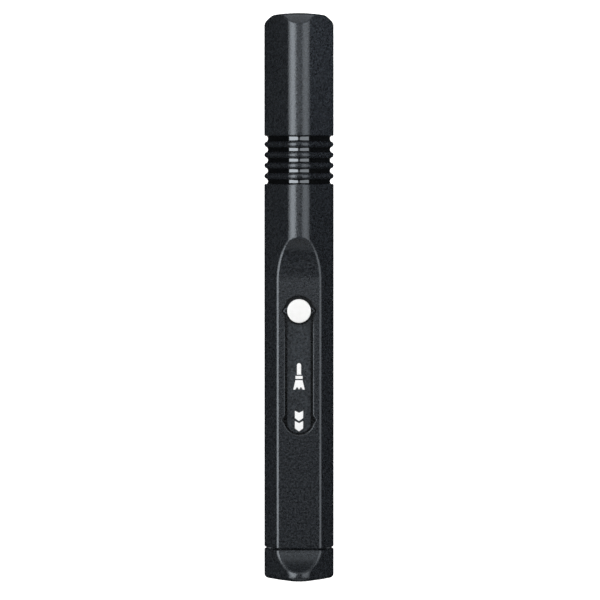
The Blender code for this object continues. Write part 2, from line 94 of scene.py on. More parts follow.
def middle(node):
    low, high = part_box(node)
    return (low + high) / 2


def reach(node):
    """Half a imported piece's width."""
    low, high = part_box(node)
    return (high.x - low.x) / 2


BARREL_START, BARREL_END = span("barrel_shell")
CAP_START, LENGTH = span("cap_shell")
NECK_START, SPIGOT_END = span("grip_neck")
TENON_END = span("nose_cap")[1]
BUTTON_STATION = middle("slider_button").y - NOSE_Y
PLATE_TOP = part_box("brush_carriage")[1].z - AXIS_Z
BRUSH_Z = middle("brush_ferrule").z - AXIS_Z
FERRULE_START, FERRULE_END = span("brush_ferrule")
RING_NODES = [f"grip_ring_{number}" for number in range(1, 5)]

# ---------------------------------------------------------------- sizes; heights are above the axis
CORNER_R = 2.7 * MM
CORNER_OUT = (reach("cap_shell") - CORNER_R) / math.sin(math.radians(120))
WALL = 1.0 * MM
SLIP = 0.1 * MM
GAP = 0.3 * MM
SOFT_EDGE = 0.25 * MM
HAIRLINE = 0.02 * MM
SHOULDER = 0.95 * MM
SHOULDER_BESIDE = 0.35 * MM
SHOULDER_CHANGE = (-2.3 * MM, -0.9 * MM)
NOSE_ROLL = 0.8 * MM
NOSE_TOP = BARREL_START - GAP
FLAT_Z = 2.8 * MM
RECESS_EDGE = 0.33 * MM
ROLL_START = 2.0 * MM
ROLL_DROP = 0.9 * MM
ROLL_FROM_Z = 2 * MM
ROLL_BAND = 3 * MM
NOSE_EDGE_GAIN = 0.6
RAMP_START = 5.95 * MM
RAMP_BEND = 0.29 / MM
SCOOP_START = 60.5 * MM
SCOOP_R = 10.0 * MM
BORE_TOP = 1.9 * MM
SOCKET_START = NECK_START - GAP
SLOT_HALF = 2.8 * MM
SLOT_END_R = 3.0 * MM
SLOT_CHAMFER = 0.3 * MM
NOTCH_DEPTH = 0.38 * MM
NOTCH_SPREAD = math.radians(16)
MOUTH_SIZE = (8.6 * MM, 5.3 * MM)
MOUTH_LEAD = 0.3 * MM
CRADLE_TOP = PLATE_TOP - 1.4 * MM
GRIP_R = 2.6 * MM
GRIP_DEPTH = 0.65 * MM
GROOVE_HOLLOW = 0.24 * MM
GROOVE_RAISE = 0.16 * MM
RIDGE_R = 0.44 * MM
RIDGE_LEAN = math.radians(30)
GRIP_OUT = (reach("cap_shell") - GRIP_DEPTH - GRIP_R) / math.sin(math.radians(120))
SPIGOT_R = 4.2 * MM
STEM_R = 1.3 * MM
SEAL_GROOVE = (0.9 * MM, 0.55 * MM)
STEM_SOCKET_R = 1.7 * MM
CAP_BORE_R = 4.4 * MM
CAP_BORE_END = 111.2 * MM
CAP_LEAD = 0.3 * MM
DOME_BOW = 0.0145 / MM
DOME_RIM_R = 5.3 * MM
DOME_RIM_SLOPE = 0.6
DOME_RIM_BLEND = 0.3 * MM
DOME_EDGE = 0.35 * MM
BUTTON_R = 2.38 * MM
WAIST_R = BUTTON_R - 0.35 * MM
WIRE_R = 0.2 * MM
EAR_REACH = 0.72 * MM
EAR_HALF = 0.58 * MM
ARROW_TIP = 29.95 * MM
ARROW_PITCH = 2.08 * MM
ARROW_HALF = 0.83 * MM
ARROW_POINT = 0.62 * MM
ARROW_SIDE = 1.48 * MM
ARROW_NOTCH = 0.42 * MM
SIGN_START = 38.4 * MM
SIGN_HAIR_HALF = 1.15 * MM
SIGN_BAND_HALF = 0.72 * MM
SIGN_HANDLE_R = 0.42 * MM

# Turned profiles start and end this near their axis, and close on a point.
POLE_R = 0.05 * MM
# Edges that turn by more degrees than this stay crisp.
SHARP = 32

# Rays from this height above the axis cut every section of the pen once. They are closest together
# over the front corner, where the thumb recess has its edges.
HUB_Z = -1.5 * MM
BEYOND_PEN = 14 * MM
HALF_TURN = np.concatenate(
    [
        np.linspace(-90, -42, 7)[:-1],
        np.linspace(-42, 4, 25)[:-1],
        np.linspace(4, 38, 7)[:-1],
        np.linspace(38, 90, 71),
    ]
)
RAYS = np.radians(np.concatenate([HALF_TURN, 180 - HALF_TURN[-2:0:-1]]))
RAY_X, RAY_Z = np.cos(RAYS), np.sin(RAYS)


# ---------------------------------------------------------------- sections
def outline(gap):
    """Where the rays leave a shape. gap(x, z) is negative inside it; heights are above the axis."""
    near = np.zeros_like(RAY_X)
    far = np.full_like(RAY_X, BEYOND_PEN)
    for _ in range(32):
        half = (near + far) / 2
        inside = gap(RAY_X * half, RAY_Z * half + HUB_Z) < 0
        near = np.where(inside, half, near)
        far = np.where(inside, far, half)
    return np.stack([RAY_X * near, RAY_Z * near + HUB_Z], axis=1)


def triangle_gap(x, z, corner_r, corner_out):
    """Distance outside a round-cornered triangle with one corner up, negative inside it."""
    third = 2 * math.pi / 3
    turn = np.abs((np.arctan2(x, z) + third / 2) % third - third / 2)
    across = np.hypot(x, z) * np.sin(turn)
    up = np.hypot(x, z) * np.cos(turn) - corner_out
    lean = math.radians(60)
    beside_flat = across * math.cos(lean) > up * math.sin(lean)
    off_flat = across * math.sin(lean) + up * math.cos(lean)
    return np.where(beside_flat, off_flat, np.hypot(across, up)) - corner_r


def meet_softly(a, b, edge):
    """Inside both shapes, with a rounded edge where they meet."""
    deep = np.minimum(np.maximum(a, b), -edge)
    return deep + np.hypot(np.maximum(a + edge, 0), np.maximum(b + edge, 0))


def recess_at(station):
    """The thumb recess's height and slope at a station."""
    if station < RAMP_START:
        along = RAMP_START - station
        return FLAT_Z + RAMP_BEND * along**2, math.atan(2 * RAMP_BEND * along)
    turn = math.asin(min(max(station - SCOOP_START, 0) / SCOOP_R, 0.95))
    return FLAT_Z + SCOOP_R * (1 - math.cos(turn)), turn


def at(points, station):
    """A section's points at a station, in the pen's frame."""
    flat = np.empty((len(points), 3))
    flat[:, 0] = points[:, 0]
    flat[:, 1] = y_at(station)
    flat[:, 2] = AXIS_Z + points[:, 1]
    return flat


def casing_ring(station, inset=0.0):
    """The outside of the barrel and nose, with the thumb recess in it."""
    height, slope = recess_at(station)

    def gap(x, z):
        sides = triangle_gap(x, z, CORNER_R, CORNER_OUT)
        return meet_softly(sides, (z - height) * math.cos(slope), RECESS_EDGE) + inset

    return at(outline(gap), station)


def nose_ring(station, inset=0.0):
    """The casing's section, with its crest rolled off towards the pen's end and a softer recess edge."""
    height, slope = recess_at(station)
    rolled = ROLL_DROP * (max(ROLL_START - station, 0) / ROLL_START) ** 2
    edge = RECESS_EDGE * (1 + NOSE_EDGE_GAIN * max(NOSE_TOP - station, 0) / NOSE_TOP)

    def gap(x, z):
        near_crest = np.clip((z - ROLL_FROM_Z) / ROLL_BAND, 0, 1)
        sides = triangle_gap(x, z + rolled * near_crest, CORNER_R, CORNER_OUT)
        return meet_softly(sides, (z - height) * math.cos(slope), edge) + inset

    return at(outline(gap), station)


def shoulder_ring(station):
    """The bottom of the nose's seam: deep on the front, and shallow at the pen's widest places."""

    def gap(x, z):
        depth = np.interp(z, SHOULDER_CHANGE, [SHOULDER_BESIDE, SHOULDER])
        return np.maximum(triangle_gap(x, z, CORNER_R, CORNER_OUT), z - recess_at(station)[0]) + depth

    return at(outline(gap), station)


def plain_ring(station, inset=0.0):
    """The pen's full section, with no recess."""
    return at(outline(lambda x, z: triangle_gap(x, z, CORNER_R, CORNER_OUT) + inset), station)


def bore_ring(station, inset, top):
    """The section inside the casing, cut off flat at the top."""

    def gap(x, z):
        return np.maximum(triangle_gap(x, z, CORNER_R, CORNER_OUT) + inset, z - top)

    return at(outline(gap), station)


def grip_ring(station, inset=0.0):
    """The polished core between the grip rings. Its front corner is two flats that meet in a soft ridge."""

    def gap(x, z):
        across = np.hypot(x, RIDGE_R) - RIDGE_R
        up = z - GRIP_OUT - GRIP_R
        ridge = across * math.sin(RIDGE_LEAN) + up * math.cos(RIDGE_LEAN)
        return np.maximum(triangle_gap(x, z, GRIP_R, GRIP_OUT), ridge) + inset

    return at(outline(gap), station)


def round_ring(station, radius):
    return at(outline(lambda x, z: np.hypot(x, z) - radius), station)


def oval_ring(station, width, depth):
    """A flat-sided oval round the brush's own middle."""
    side = (width - depth) / 2

    def gap(x, z):
        return np.hypot(np.maximum(np.abs(x) - side, 0), z - BRUSH_Z) - depth / 2

    return at(outline(gap), station)


def rounded_end(ring, station, size, inward, steps=4):
    """Rings that turn an end face into a side. inward is 1 at a piece's first end and -1 at its last."""
    rings = []
    for step in range(steps + 1):
        turn = math.pi / 2 * step / steps
        along = inward * size * (1 - math.cos(turn))
        rings.append(ring(station + along, inset=size * (1 - math.sin(turn))))
    return rings[::inward]


# ---------------------------------------------------------------- meshes
def finish_mesh(name, mesh, sharp=SHARP):
    shape = bmesh.new()
    shape.from_mesh(mesh)
    bmesh.ops.remove_doubles(shape, verts=shape.verts, dist=1e-7)
    bmesh.ops.recalc_face_normals(shape, faces=shape.faces)
    shape.to_mesh(mesh)
    shape.free()
    mesh.shade_smooth()
    mesh.set_sharp_from_angle(angle=math.radians(sharp))
    obj = bpy.data.objects.new(name, mesh)
    bpy.context.scene.collection.objects.link(obj)
    return obj


def loft(name, rings, capped=False, sharp=SHARP):
    """A closed mesh through rings of equal count: a tube closed on itself, or a solid with capped ends."""
    count = len(rings[0])
    verts = np.concatenate(rings)
    pairs = list(zip(range(len(rings)), range(1, len(rings))))
    if not capped:
        pairs.append((len(rings) - 1, 0))
    faces = []
    for a, b in pairs:
        for k in range(count):
            n = (k + 1) % count
            faces.append((a * count + k, a * count + n, b * count + n, b * count + k))
    if capped:
        ends = [rings[0].mean(axis=0), rings[-1].mean(axis=0)]
        for pole, first in enumerate((0, (len(rings) - 1) * count)):
            tip = len(verts) + pole
            for k in range(count):
                faces.append((tip, first + k, first + (k + 1) % count))
        verts = np.concatenate([verts, ends])
    mesh = bpy.data.meshes.new(name)
    mesh.from_pydata(verts.tolist(), [], faces)
    return finish_mesh(name, mesh, sharp)


def softened(profile, size, steps=4):
    """A profile with its inner corners rounded over."""
    points = [Vector(p) for p in profile]
    made = [points[0]]
    for before, corner, after in zip(points, points[1:], points[2:]):
        back, on = before - corner, after - corner
        cut = min(size, back.length * 0.45, on.length * 0.45)
        start, end = corner + back.normalized() * cut, corner + on.normalized() * cut
        for step in range(steps + 1):
            t = step / steps
            made.append(start * (1 - t) ** 2 + corner * 2 * t * (1 - t) + end * t**2)
    return [tuple(p) for p in made + [points[-1]]]


def turned(name, profile, closed=False, upright_at=None):
    """A profile of (radius, station) turned round the pen's axis, or of (radius, height) round an upright
    line at a station."""
    turns = np.linspace(0, 2 * math.pi, 96, endpoint=False)
    rings = []
    for radius, along in profile:
        x, other = radius * np.cos(turns), radius * np.sin(turns)
        if upright_at is None:
            ring = np.stack([x, np.full_like(x, y_at(along)), AXIS_Z + other], 1)
        else:
            ring = np.stack([x, y_at(upright_at) + other, np.full_like(x, AXIS_Z + along)], 1)
        rings.append(ring)
    return loft(name, rings, capped=not closed)


def cut(piece, cutter):
    """Takes the cutter out of a piece for good."""
    boolean = piece.modifiers.new("Cut", "BOOLEAN")
    boolean.operation = "DIFFERENCE"
    boolean.object = cutter
    bpy.context.view_layer.update()
    graph = bpy.context.evaluated_depsgraph_get()
    made = bpy.data.meshes.new_from_object(piece.evaluated_get(graph))
    piece.modifiers.clear()
    old = piece.data
    piece.data = made
    bpy.data.meshes.remove(old)
    bpy.data.objects.remove(cutter)
    made.shade_smooth()
    made.set_sharp_from_angle(angle=math.radians(SHARP))


# ---------------------------------------------------------------- finishes
def linear(code):
    """An sRGB hex colour as linear light, with alpha."""
    shares = [int(code[k : k + 2], 16) / 255 for k in (1, 3, 5)]
    return (*[s / 12.92 if s <= 0.04045 else ((s + 0.055) / 1.055) ** 2.4 for s in shares], 1)


def add(tree, kind, inputs=None, **settings):
    """Adds a node. Each input is a value, or another node's output to link."""
    node = tree.nodes.new(kind)
    for name, value in settings.items():
        setattr(node, name, value)
    for name, value in (inputs or {}).items():
        if isinstance(value, bpy.types.NodeSocket):
            tree.links.new(value, node.inputs[name])
        else:
            node.inputs[name].default_value = value
    return node


def new_finish(name, **settings):
    """A Principled material with constants on its own sockets, and the object's own coordinates."""
    made = bpy.data.materials.new(name)
    made.use_nodes = True
    tree = made.node_tree
    shader = tree.nodes["Principled BSDF"]
    for socket, value in settings.items():
        shader.inputs[socket.replace("_", " ")].default_value = value
    place = add(tree, "ShaderNodeTexCoord").outputs["Object"]
    return made, tree, shader, place


def mottle(tree, place, size, low, high, detail=3.0):
    """A colour or value that wanders between two, with patches of that size."""
    noise = add(
        tree,
        "ShaderNodeTexNoise",
        {"Vector": place, "Scale": 1 / size, "Detail": detail, "Roughness": 0.6},
    )
    ramp = add(tree, "ShaderNodeValToRGB", {"Fac": noise.outputs["Fac"]})
    for element, position, colour in zip(ramp.color_ramp.elements, (0.35, 0.65), (low, high)):
        element.position = position
        element.color = colour
    return ramp.outputs["Color"]


def grey(value):
    return (value, value, value, 1)


def relief(tree, shader, height, depth):
    """Bump of a real depth."""
    bump = add(tree, "ShaderNodeBump", {"Height": height, "Distance": depth})
    tree.links.new(bump.outputs["Normal"], shader.inputs["Normal"])


def spark_textured_abs(name, dark, light, roughness, depth, painted_shade_below=None):
    """Black ABS from a spark-eroded mould: a fine even grain that breaks the shine into a soft satin.
    Below painted_shade_below, a height in the pen's frame, it is painted near-black: painted shade in the
    slide's deep margins beside the slot."""
    made, tree, shader, place = new_finish(name, IOR=1.53)
    colour = mottle(tree, place, 0.42 * MM, linear(dark), linear(light), detail=2.0)
    if painted_shade_below is not None:
        height = add(tree, "ShaderNodeSeparateXYZ", {"Vector": place}).outputs["Z"]
        above = add(
            tree, "ShaderNodeMath", {0: height, 1: painted_shade_below}, operation="GREATER_THAN"
        ).outputs["Value"]
        blend = add(tree, "ShaderNodeMixRGB", {"Fac": above, "Color2": colour})
        # Painted shade: near-black below that height, where the slot's walls shade the plate's margins.
        blend.inputs["Color1"].default_value = linear("#030304")
        colour = blend.outputs["Color"]
    tree.links.new(colour, shader.inputs["Base Color"])
    # Spark grain is 0.1 to 0.2 mm across. It is drawn at 0.34 mm, so that it shows.
    grain = add(
        tree,
        "ShaderNodeTexNoise",
        {"Vector": place, "Scale": 1 / (0.34 * MM), "Detail": 2.5, "Roughness": 0.65},
    )
    shine = mottle(tree, place, 0.5 * MM, grey(roughness - 0.05), grey(roughness + 0.06))
    tree.links.new(shine, shader.inputs["Roughness"])
    relief(tree, shader, grain.outputs["Fac"], depth)
    return made


def polished_abs():
    """Black ABS from a polished mould: near-black and glossy, with the faint ripple of a real moulding."""
    made, tree, shader, place = new_finish(
        "polished_abs", IOR=1.54, Roughness=0.09, Coat_Weight=1.0, Coat_Roughness=0.06
    )
    colour = mottle(tree, place, 4 * MM, linear("#060708"), linear("#0a0b0c"))
    tree.links.new(colour, shader.inputs["Base Color"])
    ripple = add(
        tree,
        "ShaderNodeTexNoise",
        {"Vector": place, "Scale": 1 / (2.5 * MM), "Detail": 1.0},
    )
    relief(tree, shader, ripple.outputs["Fac"], 0.004 * MM)
    return made


def white_abs():
    """White ABS with a soft satin skin, which stays clean and bright in the light."""
    made, tree, shader, place = new_finish("satin_white_abs", IOR=1.53, Roughness=0.38)
    colour = mottle(tree, place, 1.5 * MM, linear("#f3f3f1"), linear("#f8f8f7"))
    tree.links.new(colour, shader.inputs["Base Color"])
    grain = add(
        tree,
        "ShaderNodeTexNoise",
        {"Vector": place, "Scale": 1 / (0.3 * MM), "Detail": 2.0},
    )
    relief(tree, shader, grain.outputs["Fac"], 0.003 * MM)
    return made


def pad_print_ink():
    """Matt white ink from a pad printer, a thin film that is a little uneven."""
    made, tree, shader, place = new_finish("pad_print_ink", IOR=1.5, Roughness=0.55)
    colour = mottle(tree, place, 0.25 * MM, linear("#f8f8f7"), linear("#ffffff"))
    tree.links.new(colour, shader.inputs["Base Color"])
    film = add(
        tree,
        "ShaderNodeTexNoise",
        {"Vector": place, "Scale": 1 / (0.2 * MM), "Detail": 2.0},
    )
    relief(tree, shader, film.outputs["Fac"], 0.004 * MM)
    return made


def drawn_metal(name, colour_low, colour_high, roughness, stretch):
    """Drawn metal: fine lines along the draw that stretch its reflections across them."""
    made, tree, shader, place = new_finish(name, Metallic=1.0, Anisotropic=0.35)
    scaled = add(tree, "ShaderNodeMapping", {"Vector": place, "Scale": stretch})
    colour = mottle(
        tree, scaled.outputs["Vector"], 0.5 * MM, linear(colour_low), linear(colour_high)
    )
    tree.links.new(colour, shader.inputs["Base Color"])
    # Draw lines are under 0.02 mm apart. They are drawn at 0.12 mm, so that they show.
    lines = add(
        tree,
        "ShaderNodeTexNoise",
        {"Vector": scaled.outputs["Vector"], "Scale": 1 / (0.12 * MM), "Detail": 2.0},
    )
    shine = mottle(
        tree, scaled.outputs["Vector"], 0.2 * MM, grey(roughness - 0.05), grey(roughness + 0.08)
    )
    tree.links.new(shine, shader.inputs["Roughness"])
    relief(tree, shader, lines.outputs["Fac"], 0.002 * MM)
    return made


def goat_hair():
    """Dressed goat hair: dark brown with paler strands, and a soft sheen along each hair."""
    made, tree, shader, place = new_finish(
        "dressed_goat_hair", IOR=1.55, Roughness=0.5, Sheen_Weight=0.25, Sheen_Roughness=0.4
    )
    stretch = add(tree, "ShaderNodeMapping", {"Vector": place, "Scale": (1, 0.06, 1)})
    colour = mottle(
        tree, stretch.outputs["Vector"], 0.16 * MM, linear("#1b1512"), linear("#5a4a3d"), detail=2.0
    )
    tree.links.new(colour, shader.inputs["Base Color"])
    scales = add(
        tree,
        "ShaderNodeTexNoise",
        {"Vector": stretch.outputs["Vector"], "Scale": 1 / (0.06 * MM)},
    )
    relief(tree, shader, scales.outputs["Fac"], 0.006 * MM)
    return made


def moulded_rubber():
    """Black rubber from a blasted mould: matt, with a grey bloom in patches."""
    made, tree, shader, place = new_finish("moulded_rubber", IOR=1.52)
    colour = mottle(tree, place, 1.2 * MM, linear("#151617"), linear("#232425"))
    tree.links.new(colour, shader.inputs["Base Color"])
    shine = mottle(tree, place, 0.8 * MM, grey(0.62), grey(0.78))
    tree.links.new(shine, shader.inputs["Roughness"])
    grain = add(
        tree,
        "ShaderNodeTexNoise",
        {"Vector": place, "Scale": 1 / (0.15 * MM), "Detail": 3.0},
    )
    relief(tree, shader, grain.outputs["Fac"], 0.008 * MM)
    return made


def microfibre_suede():
    """Microfibre suede: a short nap in tufts, dull from the front and paler at its edge."""
    made, tree, shader, place = new_finish(
        "microfibre_suede", IOR=1.45, Roughness=0.95, Sheen_Weight=0.6, Sheen_Roughness=0.5
    )
    colour = mottle(tree, place, 0.3 * MM, linear("#141414"), linear("#2e2e2f"), detail=4.0)
    tree.links.new(colour, shader.inputs["Base Color"])
    nap = add(
        tree,
        "ShaderNodeTexVoronoi",
        {"Vector": place, "Scale": 1 / (0.14 * MM), "Randomness": 1.0},
    )
    relief(tree, shader, nap.outputs["Distance"], 0.03 * MM)
    return made


def carbon_foam():
    """Open foam loaded with carbon powder: sooty black, pitted by its cells."""
    made, tree, shader, place = new_finish("carbon_loaded_foam", IOR=1.45, Roughness=0.9)
    cells = add(
        tree,
        "ShaderNodeTexVoronoi",
        {"Vector": place, "Scale": 1 / (0.32 * MM), "Randomness": 1.0},
    )
    soot = mottle(tree, place, 0.9 * MM, linear("#0c0c0d"), linear("#2b2b2d"), detail=4.0)
    tree.links.new(soot, shader.inputs["Base Color"])
    relief(tree, shader, cells.outputs["Distance"], 0.12 * MM)
    return made


def moulded_polypropylene():
    """Grey polypropylene: waxy, a little soft in its shine."""
    made, tree, shader, place = new_finish(
        "moulded_polypropylene", IOR=1.49, Subsurface_Weight=0.05, Subsurface_Scale=0.0005
    )
    colour = mottle(tree, place, 2 * MM, linear("#6d7074"), linear("#7b7e82"))
    tree.links.new(colour, shader.inputs["Base Color"])
    shine = mottle(tree, place, 0.7 * MM, grey(0.4), grey(0.52))
    tree.links.new(shine, shader.inputs["Roughness"])
    grain = add(
        tree,
        "ShaderNodeTexNoise",
        {"Vector": place, "Scale": 1 / (0.25 * MM), "Detail": 2.0},
    )
    relief(tree, shader, grain.outputs["Fac"], 0.006 * MM)
    return made


CASING = spark_textured_abs("spark_textured_abs", "#08090c", "#25292e", 0.26, 0.055 * MM)
# Just below its top the slide plate is painted near-black, as painted shade in the slot's deep margins.
SLIDE_PLASTIC = spark_textured_abs(
    "spark_textured_acetal", "#0d0f12", "#2e3338", 0.29, 0.055 * MM, AXIS_Z + PLATE_TOP - 0.1 * MM
)
POLISHED = polished_abs()
WHITE = white_abs()
INK = pad_print_ink()
SPRING = drawn_metal("blackened_spring_steel", "#4c4d4f", "#626365", 0.25, (1, 0.1, 1))
ALUMINIUM = drawn_metal("drawn_aluminium", "#c4c6c9", "#dedfe1", 0.28, (1, 0.06, 1))
HAIR = goat_hair()
RUBBER = moulded_rubber()
SUEDE = microfibre_suede()
FOAM = carbon_foam()
GREY_PLASTIC = moulded_polypropylene()


def dress(piece, body, finish, slot, *nodes):
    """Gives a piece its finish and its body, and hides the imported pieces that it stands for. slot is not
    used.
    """
    piece.data.materials.clear()
    piece.data.materials.append(finish)
    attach(piece, body)
    if nodes:
        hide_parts(*nodes)
    return piece


# ---------------------------------------------------------------- casing
def slot_outline(half, end_r):
    """The slot in plan: straight sides, and rounder ends with a small notch on each side for the detent."""
    near, far = BUTTON_STATION, BUTTON_STATION - TRAVEL
    lean = math.acos(half / end_r)
    points = []
    for stop, turn_from in ((near, -lean), (far, math.pi - lean)):
        for turn in np.linspace(turn_from, turn_from + math.pi + 2 * lean, 100):
            off_side = min(abs(math.remainder(turn, math.pi)) / NOTCH_SPREAD, 1)
            radius = end_r + NOTCH_DEPTH * math.cos(off_side * math.pi / 2) ** 2
            points.append((radius * math.cos(turn), stop + radius * math.sin(turn)))
    return points


def slot_cutter():
    """Straight through the barrel's front wall, flared at the top to leave a rounded edge."""
    steps = [(BORE_TOP - GAP, 0)]
    for turn in np.radians([0, 20, 40, 60]):
        steps.append((FLAT_Z - SLOT_CHAMFER * (1 - math.sin(turn)), SLOT_CHAMFER * (1 - math.cos(turn))))
    steps.append((FLAT_Z + GAP, SLOT_CHAMFER + GAP))
    rings = []
    for height, grow in steps:
        plan = slot_outline(SLOT_HALF + grow, SLOT_END_R + grow)
        rings.append(np.array([(x, y_at(station), AXIS_Z + height) for x, station in plan]))
    return loft("slot_cutter", rings, capped=True)


def make_barrel():
    turns = np.radians(np.arange(0, 68, 0.9))
    scoop = [SCOOP_START + SCOOP_R * math.sin(turn) for turn in turns]
    sides = [BARREL_START + 1 * MM, *scoop, BARREL_END - 1 * MM]
    rings = rounded_end(casing_ring, BARREL_START, SOFT_EDGE, 1)
    rings += [casing_ring(station) for station in sides]
    rings += rounded_end(casing_ring, BARREL_END, SOFT_EDGE, -1)
    rings += [plain_ring(station, WALL) for station in (BARREL_END, SOCKET_START)]
    rings += [bore_ring(station, WALL, BORE_TOP) for station in (SOCKET_START, BARREL_START)]
    barrel = loft("barrel_moulding", rings)
    cut(barrel, slot_cutter())
    dress(barrel, "barrel", CASING, "casing_plastic", "barrel_shell")


def make_nose():
    """The end piece with its ramp, the brush's oval mouth, and the cradle inside the barrel."""
    ramp = RAMP_START - np.linspace(5.1 * MM, 0, 42)
    ramp = ramp[(ramp > NOSE_ROLL) & (ramp < NOSE_TOP - SOFT_EDGE - 0.01 * MM)]
    rings = rounded_end(nose_ring, 0, NOSE_ROLL, 1, steps=7)
    rings += [nose_ring(station) for station in ramp]
    rings += rounded_end(casing_ring, NOSE_TOP, SOFT_EDGE, -1)
    # A shoulder closes the seam just below the surface, so that it reads as a thin dark line.
    cradle_start = BARREL_START - HAIRLINE
    rings += [shoulder_ring(station) for station in (NOSE_TOP, cradle_start)]
    rings += [bore_ring(station, WALL + SLIP, CRADLE_TOP) for station in (cradle_start, TENON_END)]
    nose = loft("nose_moulding", rings, capped=True)
    cut(nose, mouth_cutter())
    dress(nose, "barrel", CASING, "casing_plastic", "nose_cap")


def mouth_cutter():
    """The brush's oval way through the nose and its cradle, rounded out at the end face."""
    width, depth = MOUTH_SIZE
    rings = [oval_ring(-GAP, width + 2 * MOUTH_LEAD, depth + 2 * MOUTH_LEAD)]
    for turn in np.radians([90, 67.5, 45, 22.5, 0]):
        grow = 2 * MOUTH_LEAD * (1 - math.cos(turn))
        station = MOUTH_LEAD * (1 - math.sin(turn))
        rings.append(oval_ring(station, width + grow, depth + grow))
    rings.append(oval_ring(TENON_END + GAP, width, depth))
    return loft("mouth_cutter", rings, capped=True)


def dome_ring(side, out, share):
    """The cap's end face at a share of the way out to its sides: a low dome with a wide chamfer."""
    out = out * share
    past_rim = ((out - DOME_RIM_R) + np.hypot(out - DOME_RIM_R, DOME_RIM_BLEND)) / 2
    ring = side.copy()
    ring[:, 0] = side[:, 0] * share
    ring[:, 1] = y_at(LENGTH - DOME_BOW * out**2 - DOME_RIM_SLOPE * past_rim)
    ring[:, 2] = AXIS_Z + (side[:, 2] - AXIS_Z) * share
    return ring


def make_cap():
    """The cap: straight sides, a low dome with a wide chamfer round it, and a round bore."""
    side = plain_ring(0)
    out = np.hypot(side[:, 0], side[:, 2] - AXIS_Z)
    inner_share = 1 - DOME_EDGE / out
    corner = dome_ring(side, out, np.ones_like(out))
    inner = dome_ring(side, out, inner_share)
    below = corner - [0, DOME_EDGE, 0]
    rings = rounded_end(plain_ring, CAP_START, SOFT_EDGE, 1)
    rings.append(plain_ring(CAP_START + 2 * MM))
    for t in np.linspace(0, 1, 7):
        rings.append(below * (1 - t) ** 2 + corner * 2 * t * (1 - t) + inner * t**2)
    rings += [dome_ring(side, out, inner_share * share) for share in np.linspace(0.93, 0.03, 31)]
    bore = [
        (CAP_BORE_R + CAP_LEAD, CAP_START),
        (CAP_BORE_R, CAP_START + CAP_LEAD),
        (CAP_BORE_R, CAP_BORE_END - 0.5 * MM),
        (CAP_BORE_R - 0.5 * MM, CAP_BORE_END),
        (0.2 * MM, CAP_BORE_END),
    ]
    inside = [round_ring(station, radius) for radius, station in bore]
    cap = loft("cap_moulding", inside[::-1] + rings, capped=True)
    dress(cap, "cap", CASING, "casing_plastic", "cap_shell")


# ---------------------------------------------------------------- grip
def groove_rings(start, end):
    """The core's sections between the grip rings, which sit in shallow seats. Each groove's floor is a
    little hollow."""
    edges = [start, *[edge for node in RING_NODES for edge in span(node)], end]
    rings = []
    for first, last in zip(edges[::2], edges[1::2]):
        rings.append(grip_ring(first))
        for share in np.linspace(-0.98, 0.98, 11):
            station = (first + last) / 2 + share * (last - first) / 2
            rings.append(grip_ring(station, GROOVE_HOLLOW * (1 - share**2) - GROOVE_RAISE))
        rings.append(grip_ring(last))
    return rings


def spigot_profile(start):
    """The cap's spigot with the seal's groove, and the blind hole for the tip's stem."""
    seal = middle("cap_seal_ring").y - NOSE_Y
    groove_width, groove_depth = SEAL_GROOVE
    groove_r = SPIGOT_R - groove_depth
    socket_end = span("tip_stem")[0] - 0.2 * MM
    profile = [
        (SPIGOT_R + 0.3 * MM, start),
        (SPIGOT_R, start + 0.05 * MM),
        (SPIGOT_R, seal - groove_width / 2),
        (groove_r, seal - groove_width / 2),
        (groove_r, seal + groove_width / 2),
        (SPIGOT_R, seal + groove_width / 2),
        (SPIGOT_R, SPIGOT_END - 0.4 * MM),
        (SPIGOT_R - 0.4 * MM, SPIGOT_END),
        (STEM_SOCKET_R + 0.1 * MM, SPIGOT_END),
        (STEM_SOCKET_R, SPIGOT_END - 0.1 * MM),
        (STEM_SOCKET_R, socket_end),
        (0.1 * MM, socket_end),
    ]
    return softened(profile, 0.08 * MM)


def make_neck():
    """One polished moulding: a plug in the barrel, the core between the grip rings, the cap's spigot."""
    core_start = BARREL_END + HAIRLINE
    core_end = CAP_START - HAIRLINE
    lead = 0.2 * MM
    rings = [plain_ring(NECK_START, WALL + SLIP + lead)]
    rings += [plain_ring(station, WALL + SLIP) for station in (NECK_START + lead, core_start)]
    rings += groove_rings(core_start, core_end)
    rings += [round_ring(station, radius) for radius, station in spigot_profile(core_end)]
    neck = loft("neck_moulding", rings, capped=True)
    # The slide's plate runs through the plug.
    plate_way = box_between(
        "plate_way",
        (-8 * MM, y_at(NECK_START - 1 * MM), AXIS_Z + PLATE_TOP - 1.3 * MM),
        (8 * MM, y_at(span("brush_carriage")[1] + GAP), AXIS_Z + BORE_TOP + 0.1 * MM),
    )
    cut(neck, plate_way)
    dress(neck, "barrel", POLISHED, "grip_plastic", "grip_neck")


def box_between(name, low, high):
    shape = bmesh.new()
    bmesh.ops.create_cube(shape, size=1)
    for vertex in shape.verts:
        vertex.co = [a + (b - a) * (c + 0.5) for a, b, c in zip(low, high, vertex.co)]
    mesh = bpy.data.meshes.new(name)
    shape.to_mesh(mesh)
    shape.free()
    obj = bpy.data.objects.new(name, mesh)
    bpy.context.scene.collection.objects.link(obj)
    return obj


def make_grip_rings():
    """Satin rings with a half-round edge, standing out to the pen's full width."""
    for number, node in enumerate(RING_NODES, 1):
        first, last = span(node)
        half = (last - first) / 2
        centre = (first + last) / 2
        rings = [grip_ring(first, -SLIP)]
        for turn in np.radians(np.linspace(0, 180, 15)):
            rings.append(plain_ring(centre - half * math.cos(turn), half * (1 - math.sin(turn))))
        rings.append(grip_ring(last, -SLIP))
        ring = loft(f"grip_ring_moulding_{number}", rings, sharp=40)
        dress(ring, "barrel", CASING, "casing_plastic", node)


